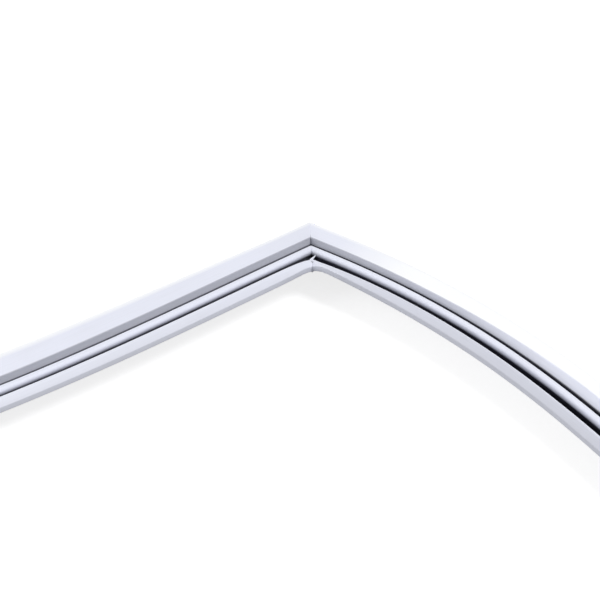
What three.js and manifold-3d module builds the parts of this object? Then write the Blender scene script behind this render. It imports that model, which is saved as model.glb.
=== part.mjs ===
// Refrigerator door gasket: one closed loop of soft PVC with four mitred and welded corners,
// and four magnet strips inside the pocket that runs round its outer edge.
// Millimetres, +Z up. The loop lies on the tip of its push-in dart with the sealing side up.
// +X runs along the short sides, +Y along the long sides, origin under the middle of the loop.

import * as THREE from 'three';
import { mergeVertices } from 'three/addons/utils/BufferGeometryUtils.js';
import Module from 'manifold-3d';

const { degToRad } = THREE.MathUtils;

// Loop, measured along the ridge of the inner lip from corner to corner.
const SHORT_SIDE = 520;
const LONG_SIDE = 980;
// Each welded corner has swung this far off the square of the frame.
const CORNER_SWING = degToRad(11.4);
// Further inward lean of each side, at a quarter of its length.
const LONG_LEAN = degToRad(19.2);
const SHORT_LEAN = degToRad(1.5);
const LONG_STEPS = 22;
const SHORT_STEPS = 10;

// Section, u outward from the ridge of the inner lip and z up from the same ridge.
const WALL = 1;
const THIN_WALL = 0.8;
const RIDGE_RADIUS = 0.9;
const LIP_ANGLE = degToRad(50);
const LIP_REACH = 3;
const LIP_EDGE_BOTTOM = -5.6;
const LIP_EDGE_ROUND = 0.6;
const LEG_ANGLE = degToRad(-45);

const BEAD_RADIUS = 2.1;
const BEAD_CENTRE = -3.13;
const BEAD_STEM = 1.3;
const BEAD_FACETS = 11;
const LEG_SLIT = 1.8;
const WEB_SLIT = 3.1;
const VALLEY_WIDTH = 1.1;
const VALLEY_DEPTH = 0.9;
const ROUND = 0.3;
const FILLET = 0.5;

const BASE_TOP = -9.5;
const BASE_THICKNESS = 1.5;
const BASE_MARGIN = 0.4;

const DART_STEM = 2.4;
const DART_BARB = 5.8;
const DART_TIP = 1.8;
const DART_NECK_DEPTH = 3.2;
const DART_DEPTH = 7;

// Magnet strip, and the pocket that is sized round it.
const MAGNET_WIDTH = 6.8;
const MAGNET_HEIGHT = 2.9;
const MAGNET_CLEARANCE = 0.3;
const MAGNET_START = 4;
const POCKET_SLOT = 1;
const POCKET_HINGE = 1.4;
const POCKET_CORNER = 0.8;
const PLEAT_SLACK = 0.4;
const PLEAT_INSET = 1.6;

// Lift of the pocket's outer edge about its hinge on the web.
const CORNER_TILT = degToRad(9);
const TOP_EXTRA_TILT = degToRad(30);
const SIDE_EXTRA_TILT = degToRad(-7);

const VENT_RADIUS = 1.1;
const VENT_FACETS = 10;

const CAVITY_WIDTH = MAGNET_WIDTH + 2 * MAGNET_CLEARANCE;
const CAVITY_HEIGHT = MAGNET_HEIGHT + 2 * MAGNET_CLEARANCE;
const POCKET_WIDTH = POCKET_HINGE + CAVITY_WIDTH + 2 * THIN_WALL;
const POCKET_HEIGHT = CAVITY_HEIGHT + WALL + THIN_WALL;
const BASE_BOTTOM = BASE_TOP - BASE_THICKNESS;
const SECTION_BOTTOM = BASE_BOTTOM - DART_DEPTH;

// Height at u of a straight flank that runs off the ridge at an angle, or of its underside when
// a wall thickness is given as depth.
function flank(u, angle, depth = 0) {
  return -RIDGE_RADIUS + (RIDGE_RADIUS - depth) / Math.cos(angle) + u * Math.tan(angle);
}

// Place at which the underside of a flank reaches a height.
function underFlank(height, angle) {
  return (height - flank(0, angle, WALL)) / Math.tan(angle);
}

// The rib keeps its slit to the leg of the lip, and the web keeps its slit to the rib.
const BEAD_OUT = (BEAD_RADIUS + LEG_SLIT) / Math.cos(LEG_ANGLE) + flank(0, LEG_ANGLE) - BEAD_CENTRE;
const WEB_OUT = BEAD_OUT + BEAD_RADIUS + WEB_SLIT;
const BASE_OUTER = WEB_OUT + POCKET_WIDTH + BASE_MARGIN;
const DART_OUT = (WEB_OUT + BASE_OUTER) / 2;
const VENT_OUT = (WEB_OUT + THIN_WALL + DART_OUT - DART_STEM / 2) / 2;

const vec = (x, y) => new THREE.Vector2(x, y);

function arc(centre, radius, fromDegrees, toDegrees, steps) {
  const points = [];
  for (let i = 0; i <= steps; i += 1) {
    const angle = degToRad(fromDegrees + ((toDegrees - fromDegrees) * i) / steps);
    points.push(vec(centre.x + radius * Math.cos(angle), centre.y + radius * Math.sin(angle)));
  }
  return points;
}

// The pocket has its own axes, x outward along its top and y up, and turns about the hinge line
// where its top meets the web.
function pocketPoint(x, y, tilt) {
  return vec(x, y).rotateAround(vec(0, 0), tilt).add(vec(WEB_OUT, 0));
}

// The inner lip: a down-turned edge, a slope up to the ridge, and a leg that falls from the ridge
// to the base.
function lipUnderside() {
  const inner = -LIP_REACH + WALL;
  const spread = Math.tan(LIP_ANGLE) - Math.tan(LEG_ANGLE);
  const apex = (flank(0, LEG_ANGLE, WALL) - flank(0, LIP_ANGLE, WALL)) / spread;
  return [
    vec(-LIP_REACH, LIP_EDGE_BOTTOM),
    vec(inner, LIP_EDGE_BOTTOM),
    vec(inner, flank(inner, LIP_ANGLE, WALL)),
    vec(apex, flank(apex, LIP_ANGLE, WALL)),
    vec(underFlank(BASE_BOTTOM, LEG_ANGLE), BASE_BOTTOM),
  ];
}

function lipTop() {
  const turn = 90 + THREE.MathUtils.radToDeg(LIP_ANGLE);
  const ridge = arc(vec(0, -RIDGE_RADIUS), RIDGE_RADIUS, 90 + THREE.MathUtils.radToDeg(LEG_ANGLE), turn, 4);
  const edgeX = -LIP_REACH + LIP_EDGE_ROUND;
  const edge = arc(vec(edgeX, flank(edgeX, LIP_ANGLE, LIP_EDGE_ROUND)), LIP_EDGE_ROUND, turn, 180, 2);
  return [...ridge, ...edge];
}

// The push-in dart under the base: a stem, two barbs and a blunt tip.
function dart() {
  const left = DART_OUT - DART_STEM / 2;
  const right = DART_OUT + DART_STEM / 2;
  const neck = BASE_BOTTOM - DART_NECK_DEPTH;
  return [
    vec(left, BASE_BOTTOM),
    vec(left, neck),
    vec(DART_OUT - DART_BARB / 2, neck + ROUND),
    vec(DART_OUT - DART_TIP / 2, SECTION_BOTTOM),
    vec(DART_OUT + DART_TIP / 2, SECTION_BOTTOM),
    vec(DART_OUT + DART_BARB / 2, neck + ROUND),
    vec(right, neck),
    vec(right, BASE_BOTTOM),
  ];
}

function pleatEnds(tilt) {
  return { low: vec(BASE_OUTER, BASE_TOP), high: pocketPoint(POCKET_WIDTH, -POCKET_HEIGHT, tilt) };
}

// The outer pleat joins the base to the pocket. Both its legs keep their length, so its fold
// moves outward as the pocket lifts.
function pleat(tilt) {
  const { low, high } = pleatEnds(tilt);
  const widest = pleatEnds(CORNER_TILT + Math.max(TOP_EXTRA_TILT, SIDE_EXTRA_TILT, 0));
  const leg = widest.high.distanceTo(widest.low) / 2 + PLEAT_SLACK;
  const half = high.distanceTo(low) / 2;
  const along = high.clone().sub(low).normalize();
  const fold = low.clone().add(high).multiplyScalar(0.5);
  fold.addScaledVector(vec(-along.y, along.x), Math.sqrt(leg ** 2 - half ** 2));
  return { low, fold, high };
}

function pocketTop(tilt) {
  const corner = arc(vec(POCKET_WIDTH - POCKET_CORNER, -POCKET_CORNER), POCKET_CORNER, 0, 90, 3);
  const hinge = arc(vec(ROUND, -ROUND), ROUND, 90, 180, 2);
  return [...corner, ...hinge].map((point) => pocketPoint(point.x, point.y, tilt));
}

// The rounded rib between the two slits, on its narrow stem, and the two valleys beside it.
function rib() {
  const stemRight = BEAD_OUT + BEAD_STEM / 2;
  const stemLeft = BEAD_OUT - BEAD_STEM / 2;
  const neck = THREE.MathUtils.radToDeg(Math.asin(BEAD_STEM / 2 / BEAD_RADIUS));
  const legEnd = stemLeft - VALLEY_WIDTH;
  const valleyTop = flank(legEnd, LEG_ANGLE);
  return [
    vec(WEB_OUT, BASE_TOP + FILLET),
    vec(WEB_OUT - FILLET, BASE_TOP),
    vec(stemRight + FILLET, BASE_TOP),
    vec(stemRight, BASE_TOP + FILLET),
    ...arc(vec(BEAD_OUT, BEAD_CENTRE), BEAD_RADIUS, -90 + neck, 270 - neck, BEAD_FACETS),
    vec(stemLeft, valleyTop - VALLEY_DEPTH),
    vec(stemLeft - VALLEY_WIDTH / 2, valleyTop - VALLEY_DEPTH - ROUND),
    vec(legEnd, valleyTop),
  ];
}

// The whole outer outline of the section, anticlockwise, for one tilt of the pocket.
function sectionOutline(tilt) {
  const { low, fold, high } = pleat(tilt);
  return [
    ...lipUnderside(),
    ...dart(),
    vec(BASE_OUTER, BASE_BOTTOM),
    low,
    fold,
    high,
    ...pocketTop(tilt),
    ...rib(),
    ...lipTop(),
  ];
}

// The hollow of the section: the air chamber behind the web and the magnet pocket, which open
// into each other through the slot along the pocket's floor.
function chamberOutline(tilt) {
  const { low, fold } = pleat(tilt);
  const web = WEB_OUT + THIN_WALL;
  const left = POCKET_HINGE + THIN_WALL;
  const right = left + CAVITY_WIDTH;
  const floor = -WALL - CAVITY_HEIGHT;
  const slotLeft = (left + right - POCKET_SLOT) / 2;
  const slotRight = slotLeft + POCKET_SLOT;
  const pocket = [
    [right - THIN_WALL, -POCKET_HEIGHT], [slotRight, -POCKET_HEIGHT], [slotRight, floor],
    [right, floor], [right, -WALL], [left, -WALL], [left, floor], [slotLeft, floor],
    [slotLeft, -POCKET_HEIGHT], [POCKET_HINGE, -POCKET_HEIGHT], [POCKET_HINGE, -WALL],
  ];
  const underTop = (THIN_WALL - WALL * Math.sin(tilt)) / Math.cos(tilt);
  return [
    vec(web, BASE_TOP),
    vec(low.x - PLEAT_INSET, BASE_TOP),
    vec(fold.x - PLEAT_INSET, fold.y),
    ...pocket.map(([x, y]) => pocketPoint(x, y, tilt)),
    pocketPoint(underTop, -WALL, tilt),
  ];
}

function magnetOutline(tilt) {
  const left = POCKET_HINGE + THIN_WALL + MAGNET_CLEARANCE;
  const top = -WALL - MAGNET_CLEARANCE;
  const corners = [
    [left, top - MAGNET_HEIGHT], [left + MAGNET_WIDTH, top - MAGNET_HEIGHT],
    [left + MAGNET_WIDTH, top], [left, top],
  ];
  return corners.map(([x, y]) => pocketPoint(x, y, tilt));
}

// A side of the loop runs anticlockwise from its corner. Its inward offset is a sine, which
// swings the corner, and a squared sine, which leans the side in between.
function makeSide(name, { length, steps, swing, lean }, start, direction, extraTilt) {
  const outward = vec(direction.y, -direction.x);
  const reach = length / Math.PI;
  const stationAt = (along) => {
    const phase = along / reach;
    const bow = Math.tan(swing) * Math.sin(phase) + Math.tan(lean) * Math.sin(phase) ** 2;
    const slope = Math.tan(swing) * Math.cos(phase) + Math.tan(lean) * Math.sin(2 * phase);
    const point = start.clone().addScaledVector(direction, along);
    point.addScaledVector(outward, -bow * reach);
    const tangent = direction.clone().addScaledVector(outward, -slope).normalize();
    const normal = vec(tangent.y, -tangent.x);
    return { point, normal, tilt: CORNER_TILT + extraTilt * Math.sin(phase) };
  };
  return { name, length, steps, stationAt };
}

const LONG = { length: LONG_SIDE, steps: LONG_STEPS, swing: -CORNER_SWING, lean: LONG_LEAN };
const SHORT = { length: SHORT_SIDE, steps: SHORT_STEPS, swing: CORNER_SWING, lean: SHORT_LEAN };
const HALF_X = SHORT_SIDE / 2;
const HALF_Y = LONG_SIDE / 2;
const sides = [
  makeSide('right', LONG, vec(HALF_X, -HALF_Y), vec(0, 1), SIDE_EXTRA_TILT),
  makeSide('top', SHORT, vec(HALF_X, HALF_Y), vec(-1, 0), TOP_EXTRA_TILT),
  makeSide('left', LONG, vec(-HALF_X, HALF_Y), vec(0, -1), SIDE_EXTRA_TILT),
  makeSide('bottom', SHORT, vec(-HALF_X, -HALF_Y), vec(1, 0), 0),
];

// At a corner the section lies in the mitre plane, so its outward direction is stretched.
function cornerStation(before, after) {
  const end = before.stationAt(before.length);
  const begin = after.stationAt(0);
  const stretch = 1 / (1 + end.normal.dot(begin.normal));
  const normal = end.normal.clone().add(begin.normal).multiplyScalar(stretch);
  return { point: begin.point, normal, tilt: begin.tilt };
}

// The straight facets of a side between its two mitres; a magnet strip has the same facets.
function sideStations(side) {
  const stations = [side.stationAt(MAGNET_START)];
  for (let i = 1; i < side.steps; i += 1) {
    stations.push(side.stationAt((side.length * i) / side.steps));
  }
  stations.push(side.stationAt(side.length - MAGNET_START));
  return stations;
}

function loopStations() {
  return sides.flatMap((side, i) => {
    const before = sides[(i + sides.length - 1) % sides.length];
    return [cornerStation(before, side), ...sideStations(side)];
  });
}

function ring(station, outlineAt) {
  return outlineAt(station.tilt).map(({ x, y }) => new THREE.Vector3(
    station.point.x + station.normal.x * x,
    station.point.y + station.normal.y * x,
    y - SECTION_BOTTOM,
  ));
}

function skin(rings, closed) {
  const count = rings[0].length;
  const spans = closed ? rings.length : rings.length - 1;
  const index = [];
  for (let i = 0; i < spans; i += 1) {
    const here = i * count;
    const next = ((i + 1) % rings.length) * count;
    for (let j = 0; j < count; j += 1) {
      const k = (j + 1) % count;
      index.push(here + j, next + j, next + k, here + j, next + k, here + k);
    }
  }
  return index;
}

function geometryOf(rings, index) {
  const geometry = new THREE.BufferGeometry().setFromPoints(rings.flat());
  geometry.setIndex(index);
  return geometry;
}

function loopGeometry(outlineAt) {
  const rings = loopStations().map((station) => ring(station, outlineAt));
  return geometryOf(rings, skin(rings, true));
}

function stripGeometry(side, outlineAt) {
  const rings = sideStations(side).map((station) => ring(station, outlineAt));
  const index = skin(rings, false);
  const last = (rings.length - 1) * rings[0].length;
  for (const [a, b, c] of THREE.ShapeUtils.triangulateShape(outlineAt(0), [])) {
    index.push(a, b, c, last + a, last + c, last + b);
  }
  return geometryOf(rings, index);
}

const wasm = await Module();
wasm.setup();

function toManifold(geometry) {
  return new wasm.Manifold(new wasm.Mesh({
    numProp: 3,
    vertProperties: new Float32Array(geometry.attributes.position.array),
    triVerts: new Uint32Array(geometry.index.array),
  }));
}

function toGeometry(solid) {
  const mesh = solid.getMesh();
  const geometry = new THREE.BufferGeometry();
  geometry.setAttribute('position', new THREE.BufferAttribute(mesh.vertProperties, 3));
  geometry.setIndex(new THREE.BufferAttribute(mesh.triVerts, 1));
  return geometry;
}

// One vent through the base in the middle of each side lets the air out of the chamber.
function ventGeometry(side) {
  const { point, normal } = side.stationAt(side.length / 2);
  const centre = point.clone().addScaledVector(normal, VENT_OUT);
  const pin = new THREE.CylinderGeometry(VENT_RADIUS, VENT_RADIUS, 2 * BASE_THICKNESS, VENT_FACETS);
  pin.rotateX(Math.PI / 2);
  pin.translate(centre.x, centre.y, (BASE_TOP + BASE_BOTTOM) / 2 - SECTION_BOTTOM);
  pin.deleteAttribute('normal');
  pin.deleteAttribute('uv');
  return mergeVertices(pin);
}

function gasketGeometry() {
  let solid = toManifold(loopGeometry(sectionOutline));
  solid = solid.subtract(toManifold(loopGeometry(chamberOutline)));
  for (const side of sides) {
    solid = solid.subtract(toManifold(ventGeometry(side)));
  }
  return toGeometry(solid);
}

const softPvc = new THREE.MeshStandardMaterial({ color: 0xeeeef4, roughness: 0.45, metalness: 0 });
const magnetRubber = new THREE.MeshStandardMaterial({ color: 0x3a302b, roughness: 0.8, metalness: 0 });

function part(name, geometry, material) {
  const mesh = new THREE.Mesh(geometry, material);
  mesh.name = name;
  return mesh;
}

const gasket = new THREE.Group();
gasket.add(part('gasket_frame', gasketGeometry(), softPvc));
for (const side of sides) {
  gasket.add(part(`magnet_strip_${side.name}`, stripGeometry(side, magnetOutline), magnetRubber));
}

export default gasket;
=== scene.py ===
"""Refrigerator door gasket: a soft PVC loop with welded corners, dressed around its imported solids."""

import logging
import math
from dataclasses import dataclass
from enum import Enum

import bmesh
import bpy
from mathutils import Matrix, Vector


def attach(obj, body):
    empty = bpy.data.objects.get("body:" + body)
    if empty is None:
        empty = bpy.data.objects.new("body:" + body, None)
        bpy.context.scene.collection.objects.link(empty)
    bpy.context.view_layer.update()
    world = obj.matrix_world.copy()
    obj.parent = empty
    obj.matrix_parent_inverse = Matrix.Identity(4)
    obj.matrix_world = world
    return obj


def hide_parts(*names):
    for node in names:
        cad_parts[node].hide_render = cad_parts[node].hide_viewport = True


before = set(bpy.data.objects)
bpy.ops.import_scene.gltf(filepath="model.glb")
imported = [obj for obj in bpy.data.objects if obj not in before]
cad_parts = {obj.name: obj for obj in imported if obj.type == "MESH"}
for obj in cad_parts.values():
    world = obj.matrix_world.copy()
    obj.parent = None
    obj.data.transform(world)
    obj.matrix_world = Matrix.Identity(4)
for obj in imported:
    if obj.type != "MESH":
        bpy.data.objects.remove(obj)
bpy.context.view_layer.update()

LOG = logging.getLogger("gasket")
MM = 0.001
BODY = "root"
# A rounding takes at most this share of the shorter edge beside its corner.
ROUNDING_SHARE = 0.45

Point = tuple[float, float]
Place = tuple[float, float, float]
Colour = tuple[float, float, float, float]
Ring = list[Vector]


class SideName(Enum):
    """The four sides of the loop, anticlockwise from the one along +X."""

    RIGHT = "right"
    TOP = "top"
    LEFT = "left"
    BOTTOM = "bottom"


@dataclass(frozen=True)
class Knot:
    """A corner of an outline, with the radius that rounds it."""

    u: float
    z: float
    radius: float = 0.0


def rounded(knots: list[Knot], steps: int) -> list[Point]:
    """Rounds the corners of a closed outline.

    Args:
        knots: The corners in order, each with its own radius.
        steps: The number of steps that each rounded corner gets.

    Returns:
        The points of the outline.
    """
    points: list[Point] = []
    for i, knot in enumerate(knots):
        if knot.radius == 0:
            points.append((knot.u, knot.z))
            continue
        corner = Vector((knot.u, knot.z))
        before = Vector((knots[i - 1].u, knots[i - 1].z)) - corner
        after = Vector((knots[(i + 1) % len(knots)].u, knots[(i + 1) % len(knots)].z)) - corner
        angle = before.angle(after)
        longest = ROUNDING_SHARE * min(before.length, after.length)
        reach = min(knot.radius / math.tan(angle / 2), longest)
        start = corner + before.normalized() * reach
        end = corner + after.normalized() * reach
        for k in range(steps + 1):
            t = k / steps
            spot = start * (1 - t) ** 2 + corner * 2 * t * (1 - t) + end * t * t
            points.append((spot.x, spot.y))
    return points


def arc(u: float, z: float, radius: float, start: float, end: float, steps: int) -> list[Knot]:
    """Points on an arc, from one angle to another, in degrees."""
    angles = [math.radians(start + (end - start) * i / steps) for i in range(steps + 1)]
    return [Knot(u + radius * math.cos(a), z + radius * math.sin(a)) for a in angles]


def share(value: float, start: float, end: float) -> float:
    """How far a value has gone from start to end, from 0 to 1."""
    return min(1.0, max(0.0, (value - start) / (end - start)))


@dataclass(frozen=True)
class Section:
    """The extruded profile, u outward from the ridge of the inner lip and z up from it.

    The three shades are the heights at which the painted shade of a slit starts and is full.
    """

    wall: float = 1.0 * MM
    thin_wall: float = 0.8 * MM
    ridge_radius: float = 0.9 * MM
    ridge_steps: int = 8
    lip_angle: float = math.radians(50)
    leg_angle: float = math.radians(-45)
    lip_reach: float = 3.0 * MM
    lip_edge_bottom: float = -5.6 * MM
    lip_edge_round: float = 0.6 * MM
    lip_edge_steps: int = 4
    bead_radius: float = 2.1 * MM
    bead_steps: int = 26
    bead_centre: float = -3.13 * MM
    bead_stem: float = 1.3 * MM
    leg_slit: float = 1.8 * MM
    web_slit: float = 3.1 * MM
    valley_width: float = 1.1 * MM
    valley_depth: float = 0.9 * MM
    edge: float = 0.3 * MM
    fillet: float = 0.5 * MM
    base_top: float = -9.5 * MM
    base_thickness: float = 1.5 * MM
    base_margin: float = 0.4 * MM
    dart_stem: float = 2.4 * MM
    dart_barb: float = 5.8 * MM
    dart_tip: float = 1.8 * MM
    dart_neck: float = 3.2 * MM
    dart_depth: float = 7.0 * MM
    cavity_width: float = 7.4 * MM
    cavity_height: float = 3.5 * MM
    pocket_hinge: float = 1.4 * MM
    pocket_corner: float = 1.8 * MM
    band_edge: float = 3.0 * MM
    seam_reach: float = 2.4 * MM
    web_lean: float = 0.6 * MM
    web_knee: float = -3.6 * MM
    pleat_slack: float = 0.4 * MM
    widest_tilt: float = math.radians(39)
    corner_steps: int = 4
    leg_shade: Point = (-4.0 * MM, -6.0 * MM)
    rib_shade: Point = (-1.7 * MM, -4.2 * MM)
    web_shade: Point = (-2.8 * MM, -3.3 * MM)

    @property
    def pocket_width(self) -> float:
        """Width of the outer band."""
        return self.pocket_hinge + self.cavity_width + 2 * self.thin_wall

    @property
    def pocket_height(self) -> float:
        """Height of the magnet pocket."""
        return self.cavity_height + self.wall + self.thin_wall

    @property
    def base_bottom(self) -> float:
        """Height of the underside of the base."""
        return self.base_top - self.base_thickness

    @property
    def bottom(self) -> float:
        """Height of the tip of the dart, which the loop lies on."""
        return self.base_bottom - self.dart_depth

    @property
    def bead_out(self) -> float:
        """Place of the rib, which keeps its slit to the leg of the lip."""
        run = (self.bead_radius + self.leg_slit) / math.cos(self.leg_angle)
        return run + self.flank(0, self.leg_angle) - self.bead_centre

    @property
    def web_out(self) -> float:
        """Place of the wall below the outer band, which keeps its slit to the rib."""
        return self.bead_out + self.bead_radius + self.web_slit

    @property
    def rim(self) -> float:
        """Place of the band's outer edge where the pocket isn't tilted."""
        return self.web_out + self.pocket_width

    @property
    def base_outer(self) -> float:
        """Outer edge of the base."""
        return self.rim + self.base_margin

    def flank(self, u: float, angle: float, depth: float = 0.0) -> float:
        """Height at u of a straight flank off the ridge, or of its underside at a depth."""
        return -self.ridge_radius + (self.ridge_radius - depth) / math.cos(angle) + u * math.tan(angle)

    def pocket(self, x: float, y: float, tilt: float, radius: float = 0.0) -> Knot:
        """A corner of the magnet pocket, which turns about its hinge on the web."""
        u = self.web_out + x * math.cos(tilt) - y * math.sin(tilt)
        return Knot(u, x * math.sin(tilt) + y * math.cos(tilt), radius)

    def lip_underside(self) -> list[Knot]:
        """The underside of the inner lip and of the leg that carries it.

        Returns:
            Its corners, from the lip's edge to the foot of the leg.
        """
        inner = -self.lip_reach + self.wall
        spread = math.tan(self.lip_angle) - math.tan(self.leg_angle)
        under_leg = self.flank(0, self.leg_angle, self.wall)
        apex = (under_leg - self.flank(0, self.lip_angle, self.wall)) / spread
        foot = (self.base_bottom - under_leg) / math.tan(self.leg_angle)
        return [
            Knot(-self.lip_reach, self.lip_edge_bottom, self.edge),
            Knot(inner, self.lip_edge_bottom, self.edge),
            Knot(inner, self.flank(inner, self.lip_angle, self.wall), self.fillet),
            Knot(apex, self.flank(apex, self.lip_angle, self.wall), self.fillet),
            Knot(foot, self.base_bottom, self.fillet),
        ]

    def lip_top(self) -> list[Knot]:
        """The ridge of the inner lip and the upper corner of its down-turned edge.

        Returns:
            The points of both, from the leg to the lip's edge.
        """
        turn = 90 + math.degrees(self.lip_angle)
        start = 90 + math.degrees(self.leg_angle)
        edge_u = -self.lip_reach + self.lip_edge_round
        edge_z = self.flank(edge_u, self.lip_angle, self.lip_edge_round)
        ridge = arc(0, -self.ridge_radius, self.ridge_radius, start, turn, self.ridge_steps)
        return ridge + arc(edge_u, edge_z, self.lip_edge_round, turn, 180, self.lip_edge_steps)

    def dart(self) -> list[Knot]:
        """The push-in dart: stem, two barbs and a blunt tip.

        Returns:
            Its corners, from its inner side to its outer side.
        """
        middle = (self.web_out + self.base_outer) / 2
        neck = self.base_bottom - self.dart_neck
        half = [
            (self.dart_stem / 2, self.base_bottom, self.fillet),
            (self.dart_stem / 2, neck, 0.0),
            (self.dart_barb / 2, neck + self.edge, self.edge),
            (self.dart_tip / 2, self.bottom, self.edge),
        ]
        left = [Knot(middle - u, z, r) for u, z, r in half]
        return left + [Knot(middle + u, z, r) for u, z, r in reversed(half)]

    def pleat(self, tilt: float) -> list[Knot]:
        """The outer pleat from the base to the pocket, whose two legs keep their length.

        Args:
            tilt: The tilt of the pocket, in radians.

        Returns:
            Its corners, from the base up.
        """
        low = Vector((self.base_outer, self.base_top))
        ends = [self.pocket(self.pocket_width, -self.pocket_height, t) for t in (tilt, self.widest_tilt)]
        high, widest = (Vector((k.u, k.z)) for k in ends)
        leg = (widest - low).length / 2 + self.pleat_slack
        along = (high - low).normalized()
        depth = math.sqrt(leg ** 2 - ((high - low).length / 2) ** 2)
        fold = (low + high) / 2 + Vector((-along.y, along.x)) * depth
        return [
            Knot(self.base_outer, self.base_bottom, self.edge),
            Knot(low.x, low.y, self.edge),
            Knot(fold.x, fold.y, self.fillet),
            Knot(high.x, high.y, self.edge),
        ]

    def band(self, tilt: float, extra_lean: float) -> list[Knot]:
        """The outer band over the magnet pocket.

        Args:
            tilt: The tilt of the pocket, in radians.
            extra_lean: How much further outward the top of the web lies.

        Returns:
            Its corners, from its outer edge to the web.
        """
        return [
            self.pocket(self.pocket_width, 0, tilt, self.pocket_corner),
            self.pocket(self.pocket_width - self.band_edge, 0, tilt),
            self.pocket(extra_lean + self.seam_reach, 0, tilt),
            self.pocket(extra_lean + 2 * self.edge, 0, tilt),
            self.pocket(extra_lean, 0, tilt, self.edge),
        ]

    def rib(self, extra_lean: float) -> list[Knot]:
        """The web, the rounded rib on its stem, and the valleys beside it.

        Args:
            extra_lean: How much further outward the top of the web lies.

        Returns:
            Their corners, from the top of the web to the leg of the lip.
        """
        right = self.bead_out + self.bead_stem / 2
        left = self.bead_out - self.bead_stem / 2
        neck = math.degrees(math.asin(self.bead_stem / 2 / self.bead_radius))
        leg_end = left - self.valley_width
        valley = self.flank(leg_end, self.leg_angle)
        web_foot = self.web_out - self.web_lean
        run = self.web_lean + extra_lean
        # Extra knots where the painted shade of the web and of the leg starts and is full, so the colour has
        # vertices there.
        web_shade = [Knot(web_foot + run * (1 - z / self.web_knee), z) for z in self.web_shade]
        level = self.flank(0, self.leg_angle)
        leg_shade = [Knot((z - level) / math.tan(self.leg_angle), z) for z in reversed(self.leg_shade)]
        bead = arc(self.bead_out, self.bead_centre, self.bead_radius, neck - 90, 270 - neck, self.bead_steps)
        return [
            *web_shade,
            Knot(web_foot, self.web_knee, self.fillet),
            Knot(web_foot, self.base_top, self.fillet),
            Knot(right, self.base_top, self.fillet),
            *bead,
            Knot(left, valley - self.valley_depth, self.edge),
            Knot(left - self.valley_width / 2, valley - self.valley_depth - self.edge, self.edge),
            Knot(leg_end, valley),
            *leg_shade,
        ]

    def outline(self, tilt: float, extra_lean: float = 0.0) -> list[Point]:
        """The whole outer outline.

        Args:
            tilt: The tilt of the pocket, in radians.
            extra_lean: How much further outward the top of the web lies.

        Returns:
            Its points, anticlockwise.
        """
        knots = self.lip_underside() + self.dart() + self.pleat(tilt)
        knots += self.band(tilt, extra_lean) + self.rib(extra_lean) + self.lip_top()
        return rounded(knots, self.corner_steps)


@dataclass(frozen=True)
class Station:
    """A place along the loop: ridge point, outward direction, pocket tilt, way to the weld and lean."""

    point: Vector
    normal: Vector
    tilt: float
    gap: float = 0.0
    extra_lean: float = 0.0


@dataclass(frozen=True)
class Side:
    """One side of the loop, anticlockwise from its corner."""

    name: SideName
    length: float
    start: Vector
    direction: Vector
    corner_swing: float
    bow_swing: float
    extra_tilt: float
    corner_tilt: float = math.radians(9)
    most_lean: float = 2.6 * MM
    lean_start: float = 60 * MM
    lean_end: float = 170 * MM
    station_step: float = 11 * MM
    near_weld: tuple[float, ...] = (1.5 * MM, 3 * MM, 5 * MM, 8 * MM, 12 * MM, 17 * MM, 24 * MM)

    @property
    def is_long(self) -> bool:
        """Whether this is one of the two long sides."""
        return self.name in (SideName.RIGHT, SideName.LEFT)

    def at(self, along: float) -> Station:
        """The station at a distance along the side.

        Args:
            along: Distance from the side's first corner, measured straight.

        Returns:
            The station there.
        """
        reach = self.length / math.pi
        phase = along / reach
        outward = Vector((self.direction.y, -self.direction.x))
        corner, bow = math.tan(self.corner_swing), math.tan(self.bow_swing)
        inward = corner * math.sin(phase) + bow * math.sin(phase) ** 2
        slope = corner * math.cos(phase) + bow * math.sin(2 * phase)
        point = self.start + self.direction * along - outward * inward * reach
        tangent = (self.direction - outward * slope).normalized()
        tilt = self.corner_tilt + self.extra_tilt * math.sin(phase)
        gap = min(along, self.length - along)
        extra_lean = self.most_lean * share(gap, self.lean_start, self.lean_end) if self.is_long else 0.0
        return Station(point, Vector((tangent.y, -tangent.x)), tilt, gap, extra_lean)

    def backward_at_end(self) -> Vector:
        """The direction back along the side from its last corner."""
        normal = self.at(self.length).normal
        return Vector((normal.y, -normal.x))

    def forward_at_start(self) -> Vector:
        """The direction along the side from its first corner."""
        normal = self.at(0).normal
        return Vector((-normal.y, normal.x))

    def stations(self) -> list[Station]:
        """All stations between the two welds, closer together near them.

        Returns:
            The stations in order.
        """
        nearest_middle = self.near_weld[-1]
        count = round((self.length - 2 * nearest_middle) / self.station_step)
        step = (self.length - 2 * nearest_middle) / count
        middle = [nearest_middle + step * i for i in range(1, count)]
        places = [*self.near_weld, *middle, *(self.length - n for n in reversed(self.near_weld))]
        return [self.at(p) for p in places]


@dataclass(frozen=True)
class Plan:
    """The loop from above, measured along the ridge of the inner lip, and the tilts of its pocket."""

    short_side: float = 520 * MM
    long_side: float = 980 * MM
    corner_swing: float = math.radians(11.4)
    long_bow: float = math.radians(19.2)
    short_bow: float = math.radians(1.5)
    top_tilt: float = math.radians(30)
    long_side_tilt: float = math.radians(-7)

    def sides(self) -> list[Side]:
        """Lays out the four sides.

        Returns:
            The sides in order, anticlockwise.
        """
        x, y = self.short_side / 2, self.long_side / 2
        long = (-self.corner_swing, self.long_bow, self.long_side_tilt)
        short = (self.corner_swing, self.short_bow)
        return [
            Side(SideName.RIGHT, self.long_side, Vector((x, -y)), Vector((0, 1)), *long),
            Side(SideName.TOP, self.short_side, Vector((x, y)), Vector((-1, 0)), *short, self.top_tilt),
            Side(SideName.LEFT, self.long_side, Vector((-x, y)), Vector((0, -1)), *long),
            Side(SideName.BOTTOM, self.short_side, Vector((-x, -y)), Vector((1, 0)), *short, 0.0),
        ]


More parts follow.
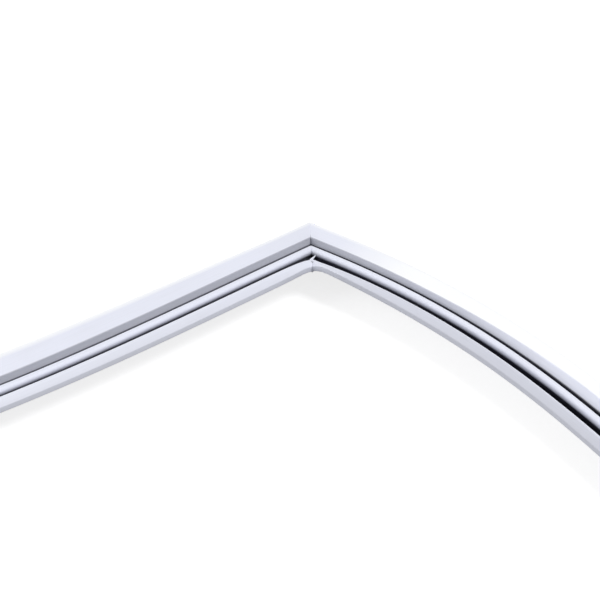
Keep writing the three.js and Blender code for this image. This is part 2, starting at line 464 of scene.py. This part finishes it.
@dataclass(frozen=True)
class Hoop:
    """One ring of the loop's skin, with what its painted shade and painted light follow."""

    points: Ring
    gap: float
    on_long_side: bool
    in_seam: bool = False


@dataclass(frozen=True)
class WeldPull:
    """How a weld pulls the inner lip out of shape, further along a long side than along a short one."""

    long_ridge_reach: float = 25 * MM
    long_edge_reach: float = 45 * MM
    short_reach: float = 6 * MM
    ridge_drop: float = 2.0 * MM
    ridge_spread: float = 5 * MM
    edge_lift: float = 2.4 * MM
    edge_start: float = 0.5 * MM
    edge_full: float = 2.5 * MM
    weld_reach: float = 6 * MM
    weld_edge_drop: float = 0.6 * MM

    def shape(self, points: list[Point], gap: float, on_long_side: bool, lowest: float) -> list[Point]:
        """Pulls a section's lip out of shape.

        Args:
            points: The section's points.
            gap: The distance to the weld.
            on_long_side: Whether the section is on a long side.
            lowest: The height above which points are moved.

        Returns:
            The points, with the ridge lower and the lip's edge higher, or lower at the weld itself.
        """
        ridge_reach = self.long_ridge_reach if on_long_side else self.short_reach
        edge_reach = self.long_edge_reach if on_long_side else self.short_reach
        at_weld = math.exp(-(gap / self.weld_reach) ** 2)
        ridge_drop = self.ridge_drop * math.exp(-gap / ridge_reach)
        edge_lift = self.edge_lift * math.exp(-gap / edge_reach) * (1 - at_weld)
        edge_lift -= self.weld_edge_drop * at_weld
        moved: list[Point] = []
        for u, z in points:
            ridge = max(0.0, 1 - abs(u) / self.ridge_spread)
            edge = share(-u, self.edge_start, self.edge_full)
            lift = edge_lift * edge - ridge_drop * ridge * (1 - edge)
            moved.append((u, z + lift if z > lowest else z))
        return moved


@dataclass(frozen=True)
class PaintedLightAndShade:
    """Painted shade and painted light on the skin: painted shade in its slits and seams, on its wall and
    lip, and painted light on its band.
    """

    web_painted_shade: float = 0.42
    web_painted_shade_loss: float = 0.45
    web_painted_shade_end: float = 140 * MM
    lip_painted_shade: float = 0.17
    lip_painted_shade_full: float = 25 * MM
    short_side_deepest: float = 0.9
    short_side_drop: float = 0.4 * MM
    seam_shade: float = 0.6
    seam_start: float = 12.5 * MM
    seam_end: float = 15.5 * MM
    rib_seam_shade: float = 0.12
    painted_light_full: float = 40 * MM

    def groove(self, section: Section, u: float, z: float, hoop: Hoop) -> float:
        """How much painted shade a point gets: in the slits, in a weld's groove, on the wall below the band
        and on the lip of the long sides.

        Args:
            section: The profile.
            u: Place of the point in the section, outward.
            z: Height of the point in the section.
            hoop: The ring that the point is on.

        Returns:
            The shade, from 0 to 1.
        """
        # Painted shade on the lip of the long sides, full from some way off the welds.
        if z > section.base_top and u <= 0 and hoop.on_long_side:
            return self.lip_painted_shade * min(1.0, hoop.gap / self.lip_painted_shade_full)
        if z < section.base_top or not 0 < u < self.seam_end:
            return 0.0
        on_rib = abs(u - section.bead_out) < section.bead_radius
        # Painted shade in the weld's groove, darker on the band than on the rib.
        seam = self.seam_shade if u > self.seam_start else self.rib_seam_shade if on_rib else 0.0
        shade = seam if hoop.in_seam else 0.0
        if u > section.web_out + section.edge:
            return shade
        on_web = u > section.bead_out + section.bead_radius
        on_leg = u < section.bead_out - section.bead_radius
        # Painted shade deep in the slits, growing with depth, less dark and starting lower on the short
        # sides.
        start, end = section.leg_shade if on_leg else section.web_shade if on_web else section.rib_shade
        deepest = 1.0 if hoop.on_long_side else self.short_side_deepest
        drop = 0.0 if hoop.on_long_side or on_web else self.short_side_drop
        slit = min(deepest, max(0.0, (start - drop - z) / (start - end)))
        # Painted shade on the wall below the band, fading away from the welds along the long sides and
        # toward the foot of the wall.
        lighter = min(1.0, hoop.gap / self.web_painted_shade_end) if hoop.on_long_side else 0.0
        loss = self.web_painted_shade_loss * share(z, 0.0, section.web_shade[0])
        wall_painted_shade = self.web_painted_shade * (1 - lighter) * (1 - loss) if on_web else 0.0
        return max(shade, slit, wall_painted_shade)

    def painted_light(self, section: Section, u: float, z: float, hoop: Hoop) -> float:
        """How much painted light whitens the outer band at a point, most at its outer edge and on the long
        sides.

        Args:
            section: The profile.
            u: Place of the point in the section, outward.
            z: Height of the point in the section.
            hoop: The ring that the point is on.

        Returns:
            The whiteness, from 0 to 1.
        """
        if u < section.web_out + section.edge or z < -section.pocket_height / 2:
            return 0.0
        # Painted light along the long sides away from the welds, and toward the band's outer edge.
        along = min(1.0, hoop.gap / self.painted_light_full) if hoop.on_long_side else 0.0
        outer = share(u, section.rim - section.band_edge, section.rim - section.pocket_corner / 2)
        return max(along, outer)


def finish_mesh(name: str, mesh: bmesh.types.BMesh, sharp_degrees: float) -> bpy.types.Object:
    """Turns a bmesh into a piece with outward faces and smooth shading.

    Args:
        name: The piece's name.
        mesh: The mesh, which is freed.
        sharp_degrees: The angle from which an edge stays sharp.

    Returns:
        The piece.
    """
    bmesh.ops.recalc_face_normals(mesh, faces=mesh.faces)
    data = bpy.data.meshes.new(name)
    mesh.to_mesh(data)
    mesh.free()
    piece = bpy.data.objects.new(name, data)
    bpy.context.scene.collection.objects.link(piece)
    bpy.ops.object.select_all(action="DESELECT")
    piece.select_set(True)
    bpy.context.view_layer.objects.active = piece
    bpy.ops.object.shade_smooth_by_angle(angle=math.radians(sharp_degrees))
    return piece


@dataclass(frozen=True)
class Gasket:
    """The welded PVC loop."""

    section: Section
    sides: list[Side]
    pull: WeldPull
    painted_light_and_shade: PaintedLightAndShade
    weld_half_width: float = 0.3 * MM
    weld_groove: float = 0.12 * MM
    sharp_degrees: float = 32
    streak_stretch: float = 0.02

    def place(self, station: Station, points: list[Point], slide: Vector | None = None) -> Ring:
        """Puts a section's points at a station.

        Args:
            station: The station.
            points: The section's points.
            slide: A shift along the side, if any.

        Returns:
            The ring of places.
        """
        shift = slide if slide is not None else Vector((0, 0))
        ring: Ring = []
        for u, z in points:
            spot = station.point + station.normal * u + shift
            ring.append(Vector((spot.x, spot.y, z - self.section.bottom)))
        return ring

    def profile(self, station: Station, on_long_side: bool) -> list[Point]:
        """The section's points at a station, with its lip pulled out of shape near a weld."""
        outline = self.section.outline(station.tilt, station.extra_lean)
        return self.pull.shape(outline, station.gap, on_long_side, self.section.base_top)

    def inset(self, points: list[Point], depth: float) -> list[Point]:
        """Moves an anticlockwise outline inward.

        Args:
            points: The outline.
            depth: How far it moves.

        Returns:
            The moved outline.
        """
        result: list[Point] = []
        for i, (u, z) in enumerate(points):
            before = points[i - 1]
            after = points[(i + 1) % len(points)]
            along = Vector((after[0] - before[0], after[1] - before[1])).normalized()
            result.append((u - along.y * depth, z + along.x * depth))
        return result

    def mitre(self, before: Side, after: Side) -> Station:
        """The station of a weld, in the mitre plane between two sides.

        Args:
            before: The side that ends at the weld.
            after: The side that starts there.

        Returns:
            The station.
        """
        end, begin = before.at(before.length), after.at(0)
        stretch = 1 / (1 + end.normal.dot(begin.normal))
        return Station(begin.point, (end.normal + begin.normal) * stretch, begin.tilt)

    def corner_hoops(self, before: Side, after: Side) -> list[Hoop]:
        """The rings of a weld: its two lips and the groove between them.

        Args:
            before: The side that ends at the weld.
            after: The side that starts there.

        Returns:
            The three rings in order.
        """
        mitre = self.mitre(before, after)
        points = self.profile(mitre, True)
        sunk = [s if s[0] > 0 else p for p, s in zip(points, self.inset(points, self.weld_groove))]
        back = before.backward_at_end() * self.weld_half_width
        ahead = after.forward_at_start() * self.weld_half_width
        return [
            Hoop(self.place(mitre, points, back), mitre.gap, before.is_long),
            Hoop(self.place(mitre, sunk), mitre.gap, after.is_long, True),
            Hoop(self.place(mitre, points, ahead), mitre.gap, after.is_long),
        ]

    def hoops(self) -> list[Hoop]:
        """All rings of the loop.

        Returns:
            The rings in order, each side's first weld before its stations.
        """
        hoops: list[Hoop] = []
        for i, side in enumerate(self.sides):
            hoops += self.corner_hoops(self.sides[i - 1], side)
            for station in side.stations():
                points = self.profile(station, side.is_long)
                hoops.append(Hoop(self.place(station, points), station.gap, side.is_long))
        return hoops

    def at_photo_weld(self, out: float, up: float, back: float) -> Vector:
        """A place at the weld between the right side and the top, which the picture shows.

        Args:
            out: Distance outward in the plane of the weld.
            up: Height above the ridge of the inner lip.
            back: Distance back along the right side.

        Returns:
            The place.
        """
        right, top = self.sides[0], self.sides[1]
        mitre = self.mitre(right, top)
        flat = mitre.point + mitre.normal * out + right.backward_at_end() * back
        return Vector((flat.x, flat.y, up - self.section.bottom))

    def build(self) -> bpy.types.Object:
        """Builds the loop as one closed skin, with the attributes for its painted shade, its painted light
        and its streaks.

        Returns:
            The piece.
        """
        outline = self.section.outline(0)
        mesh = bmesh.new()
        # Attributes for the painted shade, the painted light and the lay of the extrusion streaks.
        groove = mesh.verts.layers.float.new("groove")
        painted_light = mesh.verts.layers.float.new("painted_light")
        lay = mesh.verts.layers.float_vector.new("lay")
        rows: list[list[bmesh.types.BMVert]] = []
        along = 0.0
        for hoop in self.hoops():
            row = [mesh.verts.new(p) for p in hoop.points]
            along += (row[0].co - rows[-1][0].co).length if rows else 0.0
            across = 0.0
            for j, (vert, (u, z)) in enumerate(zip(row, outline)):
                across += math.dist(outline[j], outline[j - 1]) if j else 0.0
                vert[groove] = self.painted_light_and_shade.groove(self.section, u, z, hoop)
                vert[painted_light] = self.painted_light_and_shade.painted_light(self.section, u, z, hoop)
                vert[lay] = Vector((across, along * self.streak_stretch, 0))
            rows.append(row)
        for row, other in zip(rows, rows[1:] + rows[:1]):
            for j, vert in enumerate(row):
                k = (j + 1) % len(row)
                mesh.faces.new((vert, other[j], other[k], row[k]))
        return finish_mesh("gasket_loop", mesh, self.sharp_degrees)

    def dress(self, loop: bpy.types.Object, pvc: bpy.types.Material) -> None:
        """Gives the loop its finish and puts it in the place of its solid.

        Args:
            loop: The piece.
            pvc: The finish.
        """
        loop.data.materials.append(pvc)
        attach(loop, BODY)
        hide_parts("gasket_frame")
        LOG.info("built %s with %d faces", loop.name, len(loop.data.polygons))


@dataclass(frozen=True)
class Flash:
    """A sliver of squeezed-out PVC at a weld, from one point to another."""

    name: str
    start: Vector
    end: Vector
    width: float
    thickness: float
    cuts: int = 3
    taper: float = 0.75
    rounding: int = 2

    def build(self) -> bpy.types.Object:
        """Builds the sliver as a thin tapered blade.

        Returns:
            The piece.
        """
        along = self.end - self.start
        across = along.cross(Vector((0, 0, 1))).normalized()
        up = across.cross(along).normalized()
        bpy.ops.object.select_all(action="DESELECT")
        bpy.ops.mesh.primitive_cube_add(size=1)
        piece = bpy.context.active_object
        piece.name = self.name
        bpy.ops.object.mode_set(mode="EDIT")
        bpy.ops.mesh.subdivide(number_cuts=self.cuts)
        bpy.ops.object.mode_set(mode="OBJECT")
        for vert in piece.data.vertices:
            x, y, z = vert.co
            way = x + 0.5
            girth = 1 - self.taper * way
            spot = self.start + along * way + across * (y * self.width * girth)
            vert.co = spot + up * (z * self.thickness * girth)
        round_off = piece.modifiers.new("round_off", "SUBSURF")
        round_off.levels = self.rounding
        round_off.render_levels = self.rounding
        bpy.ops.object.modifier_apply(modifier=round_off.name)
        bpy.ops.object.shade_smooth()
        return piece

    def dress(self, sliver: bpy.types.Object, pvc: bpy.types.Material) -> None:
        """Gives the sliver the finish of the loop.

        Args:
            sliver: The piece.
            pvc: The finish.
        """
        sliver.data.materials.append(pvc)
        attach(sliver, BODY)
        LOG.info("built %s", sliver.name)


@dataclass(frozen=True)
class Flashes:
    """The two slivers at the weld that the picture shows, one over the slit and one at the rim.

    The band takes up its share of the way from the ridge to the rim, and climbs only there.
    """

    band_share: float = 0.42

    def slit(self, gasket: Gasket) -> Flash:
        """The sliver that lies over the slit beside the rib.

        Args:
            gasket: The loop.

        Returns:
            The sliver.
        """
        start = gasket.at_photo_weld(out=0.5 * MM, up=-2.4 * MM, back=-0.6 * MM)
        end = gasket.at_photo_weld(out=5.6 * MM, up=-2.6 * MM, back=2.6 * MM)
        return Flash("weld_flash_slit", start, end, width=1.3 * MM, thickness=0.7 * MM)

    def rim(self, gasket: Gasket) -> Flash:
        """The sliver at the outer edge of the band, whose height follows the tilt of the pocket.

        Args:
            gasket: The loop.

        Returns:
            The sliver.
        """
        rim = gasket.section.rim
        tilt = gasket.sides[1].corner_tilt
        height = rim * self.band_share * math.sin(tilt)
        start = gasket.at_photo_weld(out=rim - 1.6 * MM, up=height - 0.5 * MM, back=3.0 * MM)
        end = gasket.at_photo_weld(out=rim - 0.4 * MM, up=height + 0.1 * MM, back=3.4 * MM)
        return Flash("weld_flash_rim", start, end, width=1.0 * MM, thickness=0.6 * MM)


class Val:
    """A shader socket that takes part in Python expressions."""

    def __init__(self, tree: "Tree", socket: bpy.types.NodeSocket) -> None:
        """Wraps a socket of a tree."""
        self.tree = tree
        self.socket = socket

    def _math(self, operation: str, *values: "Val | float") -> "Val":
        """Adds one Math node."""
        return self.tree.node("ShaderNodeMath", {"operation": operation}, dict(enumerate(values)))

    def __add__(self, other: "Val | float") -> "Val":
        """Sum."""
        return self._math("ADD", self, other)

    __radd__ = __add__

    def __mul__(self, other: "Val | float") -> "Val":
        """Product."""
        return self._math("MULTIPLY", self, other)

    __rmul__ = __mul__

    def between(self, low: float, high: float) -> "Val":
        """How far the value has gone from low to high, from 0 to 1."""
        links = {"Value": self, "From Min": low, "From Max": high}
        return self.tree.node("ShaderNodeMapRange", {"interpolation_type": "SMOOTHSTEP"}, links)


Input = Val | float | Colour


class Tree:
    """The shader nodes of a material or of the world."""

    def __init__(self, owner: bpy.types.Material | bpy.types.World) -> None:
        """Turns on the owner's nodes.

        Args:
            owner: The material or the world.
        """
        owner.use_nodes = True
        self.nodes = owner.node_tree.nodes
        self.links = owner.node_tree.links

    def connect(self, value: Input, socket: bpy.types.NodeSocket) -> None:
        """Sets a socket to a number or a colour, or links it.

        Args:
            value: The number, the colour or the socket that it reads.
            socket: The socket that is set.
        """
        if isinstance(value, Val):
            self.links.new(value.socket, socket)
        else:
            socket.default_value = value

    def node(self, kind: str, settings: dict[str, str] | None = None,
             inputs: dict[str | int, Input] | None = None, output: int | str = 0) -> Val:
        """Adds a node.

        Args:
            kind: The node's type.
            settings: Its settings, set first.
            inputs: Values or links of its sockets, by name or place.
            output: The output that the result reads.

        Returns:
            The chosen output.
        """
        made = self.nodes.new(kind)
        for key, value in (settings or {}).items():
            setattr(made, key, value)
        for key, value in (inputs or {}).items():
            self.connect(value, made.inputs[key])
        return Val(self, made.outputs[output])

    def noise(self, place: Val, scale: float, detail: float) -> Val:
        """Adds a noise pattern on a place."""
        return self.node("ShaderNodeTexNoise", inputs={"Vector": place, "Scale": scale, "Detail": detail})

    def attribute(self, name: str, output: str = "Fac") -> Val:
        """Reads an attribute of the mesh."""
        return self.node("ShaderNodeAttribute", {"attribute_name": name}, output=output)

    def bump(self, height: Val, strength: float, distance: float) -> Val:
        """Turns a height into a bent normal."""
        inputs = {"Strength": strength, "Distance": distance, "Height": height}
        return self.node("ShaderNodeBump", inputs=inputs)

    def mix(self, factor: Input, first: Input, second: Input) -> Val:
        """Mixes two colours by a factor, through the colour sockets that the Mix node has at 6, 7 and 2."""
        return self.node("ShaderNodeMix", {"data_type": "RGBA"}, {0: factor, 6: first, 7: second}, 2)


class Surface(Tree):
    """A material around its Principled surface."""

    def __init__(self, name: str) -> None:
        """Starts the material.

        Args:
            name: The material's name.
        """
        self.material = bpy.data.materials.new(name)
        super().__init__(self.material)
        self.shader = self.nodes["Principled BSDF"]

    def set(self, **values: Input) -> None:
        """Sets the surface's sockets, with underscores for blanks."""
        for key, value in values.items():
            self.connect(value, self.shader.inputs[key.replace("_", " ")])


@dataclass(frozen=True)
class SoftPvc:
    """White, slightly lavender soft PVC with a satin skin and faint extrusion haze, with painted shade and
    painted light mixed into its colour.
    """

    colour: Colour = (0.78, 0.80, 0.90, 1.0)
    dull_colour: Colour = (0.73, 0.745, 0.83, 1.0)
    # Near-black painted shade for slits, seams, wall and lip; near-white painted light for the band.
    painted_shade_colour: Colour = (0.03, 0.03, 0.045, 1.0)
    painted_light_colour: Colour = (0.95, 0.96, 0.98, 1.0)
    roughness: float = 0.38
    roughness_spread: float = 0.08
    refraction: float = 1.46
    haze_scale: float = 38.0
    haze_detail: float = 3.0
    haze_range: Point = (0.35, 0.75)
    haze_dullness: float = 0.35
    haze_height: float = 0.5
    streak_scale: float = 1900.0
    streak_range: Point = (0.4, 0.75)
    streak_dullness: float = 0.4
    streak_height: float = 0.3
    grain_scale: float = 1400.0
    grain_height: float = 0.3
    fine_detail: float = 2.0
    bump_strength: float = 0.12
    bump_distance: float = 0.4 * MM

    def make(self) -> bpy.types.Material:
        """Builds the material.

        Returns:
            The material.
        """
        tree = Surface("soft_pvc_satin")
        place = tree.node("ShaderNodeTexCoord", output="Object")
        haze = tree.noise(place, self.haze_scale, self.haze_detail)
        grain = tree.noise(place, self.grain_scale, self.fine_detail)
        streak = tree.noise(tree.attribute("lay", "Vector"), self.streak_scale, self.fine_detail)
        dull_haze = haze.between(*self.haze_range) * self.haze_dullness
        dull_streak = streak.between(*self.streak_range) * self.streak_dullness
        skin = tree.mix(dull_haze + dull_streak, self.colour, self.dull_colour)
        # Painted light whitens the band; painted shade then darkens the slits, seams, wall and lip.
        skin_with_painted_light = tree.mix(tree.attribute("painted_light"), skin, self.painted_light_colour)
        base = tree.mix(tree.attribute("groove"), skin_with_painted_light, self.painted_shade_colour)
        height = grain * self.grain_height + haze * self.haze_height + streak * self.streak_height
        rough = self.roughness + self.roughness_spread * haze + self.roughness_spread * streak
        bump = tree.bump(height, self.bump_strength, self.bump_distance)
        tree.set(Base_Color=base, Roughness=rough, Normal=bump, IOR=self.refraction)
        return tree.material


@dataclass(frozen=True)
class MagnetRubber:
    """Dark ferrite-filled rubber with a matt, slightly grained skin."""

    colour: Colour = (0.045, 0.038, 0.034, 1.0)
    roughness: float = 0.65
    roughness_spread: float = 0.2
    grain_scale: float = 900.0
    grain_detail: float = 3.0
    bump_strength: float = 0.3
    bump_distance: float = 0.3 * MM

    def make(self) -> bpy.types.Material:
        """Builds the material.

        Returns:
            The material.
        """
        tree = Surface("magnet_rubber_matt")
        place = tree.node("ShaderNodeTexCoord", output="Object")
        grain = tree.noise(place, self.grain_scale, self.grain_detail)
        rough = self.roughness + self.roughness_spread * grain
        bump = tree.bump(grain, self.bump_strength, self.bump_distance)
        tree.set(Base_Color=self.colour, Roughness=rough, Normal=bump)
        return tree.material


@dataclass(frozen=True)
class Lamp:
    """One large soft lamp that looks at the middle of the loop."""

    name: str
    place: Place
    size: float
    watts: float

    def build(self) -> None:
        """Adds the lamp to the scene."""
        data = bpy.data.lights.new(self.name, "AREA")
        data.shape = "DISK"
        data.size = self.size
        data.energy = self.watts
        lamp = bpy.data.objects.new(self.name, data)
        lamp.location = Vector(self.place)
        lamp.rotation_euler = (-Vector(self.place)).to_track_quat("-Z", "Y").to_euler()
        bpy.context.scene.collection.objects.link(lamp)


@dataclass(frozen=True)
class Studio:
    """Pale floor, soft lamps and the camera, in metres unless a name says otherwise."""

    elevation: float = math.radians(26.1)
    azimuth: float = math.radians(-35.6)
    distance: float = 1.27
    focal_px: float = 2761.0
    corner_px: Point = (311.9, 256.3)
    image_px: float = 600.0
    sensor_mm: float = 36.0
    farthest_seen: float = 50.0
    floor_size: float = 30.0
    floor_colour: Colour = (0.4, 0.4, 0.4, 1.0)
    floor_roughness: float = 0.9
    floor_glow: float = 0.8
    white: Colour = (1.0, 1.0, 1.0, 1.0)
    world_colour: Colour = (0.8, 0.8, 0.8, 1.0)
    world_light: float = 0.4
    world_shown: float = 1.0
    lamps: tuple[Lamp, ...] = (
        Lamp("key", (1.0, -0.6, 1.9), 1.2, 36.5),
        Lamp("fill", (-1.5, 1.1, 0.75), 1.5, 22),
    )

    def camera(self, corner: Vector) -> None:
        """Aims the camera so that the welded corner lies where the picture has it.

        Args:
            corner: The place of that corner.
        """
        a, e = self.azimuth, self.elevation
        back = Vector((math.sin(a) * math.cos(e), -math.cos(a) * math.cos(e), math.sin(e)))
        right = Vector((math.cos(a), math.sin(a), 0))
        up = back.cross(right)
        off_x = (self.corner_px[0] - self.image_px / 2) / self.focal_px
        off_y = (self.image_px / 2 - self.corner_px[1]) / self.focal_px
        forward = (-back - right * off_x - up * off_y).normalized()
        side = forward.cross(Vector((0, 0, 1))).normalized()
        above = side.cross(forward)
        data = bpy.data.cameras.new("camera")
        data.sensor_width = self.sensor_mm
        data.lens = data.sensor_width * self.focal_px / self.image_px
        data.clip_end = self.farthest_seen
        eye = bpy.data.objects.new("camera", data)
        turn = Matrix((side, above, -forward)).transposed()
        eye.matrix_world = Matrix.Translation(corner + back * self.distance) @ turn.to_4x4()
        bpy.context.scene.collection.objects.link(eye)
        bpy.context.scene.camera = eye

    def floor(self) -> None:
        """Adds the floor, white to the camera but for the object's shadow."""
        bpy.ops.object.select_all(action="DESELECT")
        bpy.ops.mesh.primitive_plane_add(size=self.floor_size)
        floor = bpy.context.active_object
        floor.name = "floor"
        tree = Surface("floor_white")
        tree.set(Base_Color=self.floor_colour, Roughness=self.floor_roughness, Specular_IOR_Level=0.0)
        strength = tree.node("ShaderNodeLightPath", output="Is Camera Ray") * self.floor_glow
        glow = tree.node("ShaderNodeEmission", inputs={"Color": self.white, "Strength": strength})
        plain = Val(tree, tree.shader.outputs[0])
        both = tree.node("ShaderNodeAddShader", inputs={0: plain, 1: glow})
        tree.connect(both, tree.nodes["Material Output"].inputs["Surface"])
        floor.data.materials.append(tree.material)

    def world(self) -> None:
        """Lights the scene softly all round, and shows a paler backdrop to camera and glossy rays."""
        world = bpy.data.worlds.new("studio")
        bpy.context.scene.world = world
        tree = Tree(world)
        tree.nodes.clear()
        rays = [tree.node("ShaderNodeLightPath", output=f"Is {kind} Ray") for kind in ("Camera", "Glossy")]
        seen = tree.node("ShaderNodeMath", {"operation": "MAXIMUM"}, dict(enumerate(rays)))
        light, backdrop = (
            tree.node("ShaderNodeBackground", inputs={"Color": self.world_colour, "Strength": strength})
            for strength in (self.world_light, self.world_shown)
        )
        shown = tree.node("ShaderNodeMixShader", inputs={0: seen, 1: light, 2: backdrop})
        out = tree.nodes.new("ShaderNodeOutputWorld")
        tree.connect(shown, out.inputs["Surface"])

    def build(self, corner: Vector) -> None:
        """Sets up the whole studio.

        Args:
            corner: The place of the welded corner that the camera is aimed by.
        """
        self.camera(corner)
        self.world()
        self.floor()
        for lamp in self.lamps:
            lamp.build()
        bpy.context.scene.view_settings.view_transform = "Standard"


@dataclass(frozen=True)
class MagnetStrips:
    """The magnet strips in the pocket, one per side, whose solids are kept."""

    sides: tuple[SideName, ...] = tuple(SideName)

    def dress(self, rubber: bpy.types.Material) -> None:
        """Gives the strips their finish.

        Args:
            rubber: The finish.
        """
        for side in self.sides:
            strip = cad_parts[f"magnet_strip_{side.value}"]
            strip.data.materials.clear()
            strip.data.materials.append(rubber)
            LOG.info("dressed %s", strip.name)


def main() -> None:
    """Builds the gasket, its finishes and the studio."""
    logging.basicConfig(level=logging.INFO)
    section = Section()
    plan = Plan()
    gasket = Gasket(section, plan.sides(), WeldPull(), PaintedLightAndShade())
    pvc = SoftPvc().make()
    gasket.dress(gasket.build(), pvc)
    flashes = Flashes()
    for flash in (flashes.slit(gasket), flashes.rim(gasket)):
        flash.dress(flash.build(), pvc)
    MagnetStrips().dress(MagnetRubber().make())
    Studio().build(Vector((plan.short_side / 2, plan.long_side / 2, -section.bottom)))


if __name__ == "__main__":
    main()
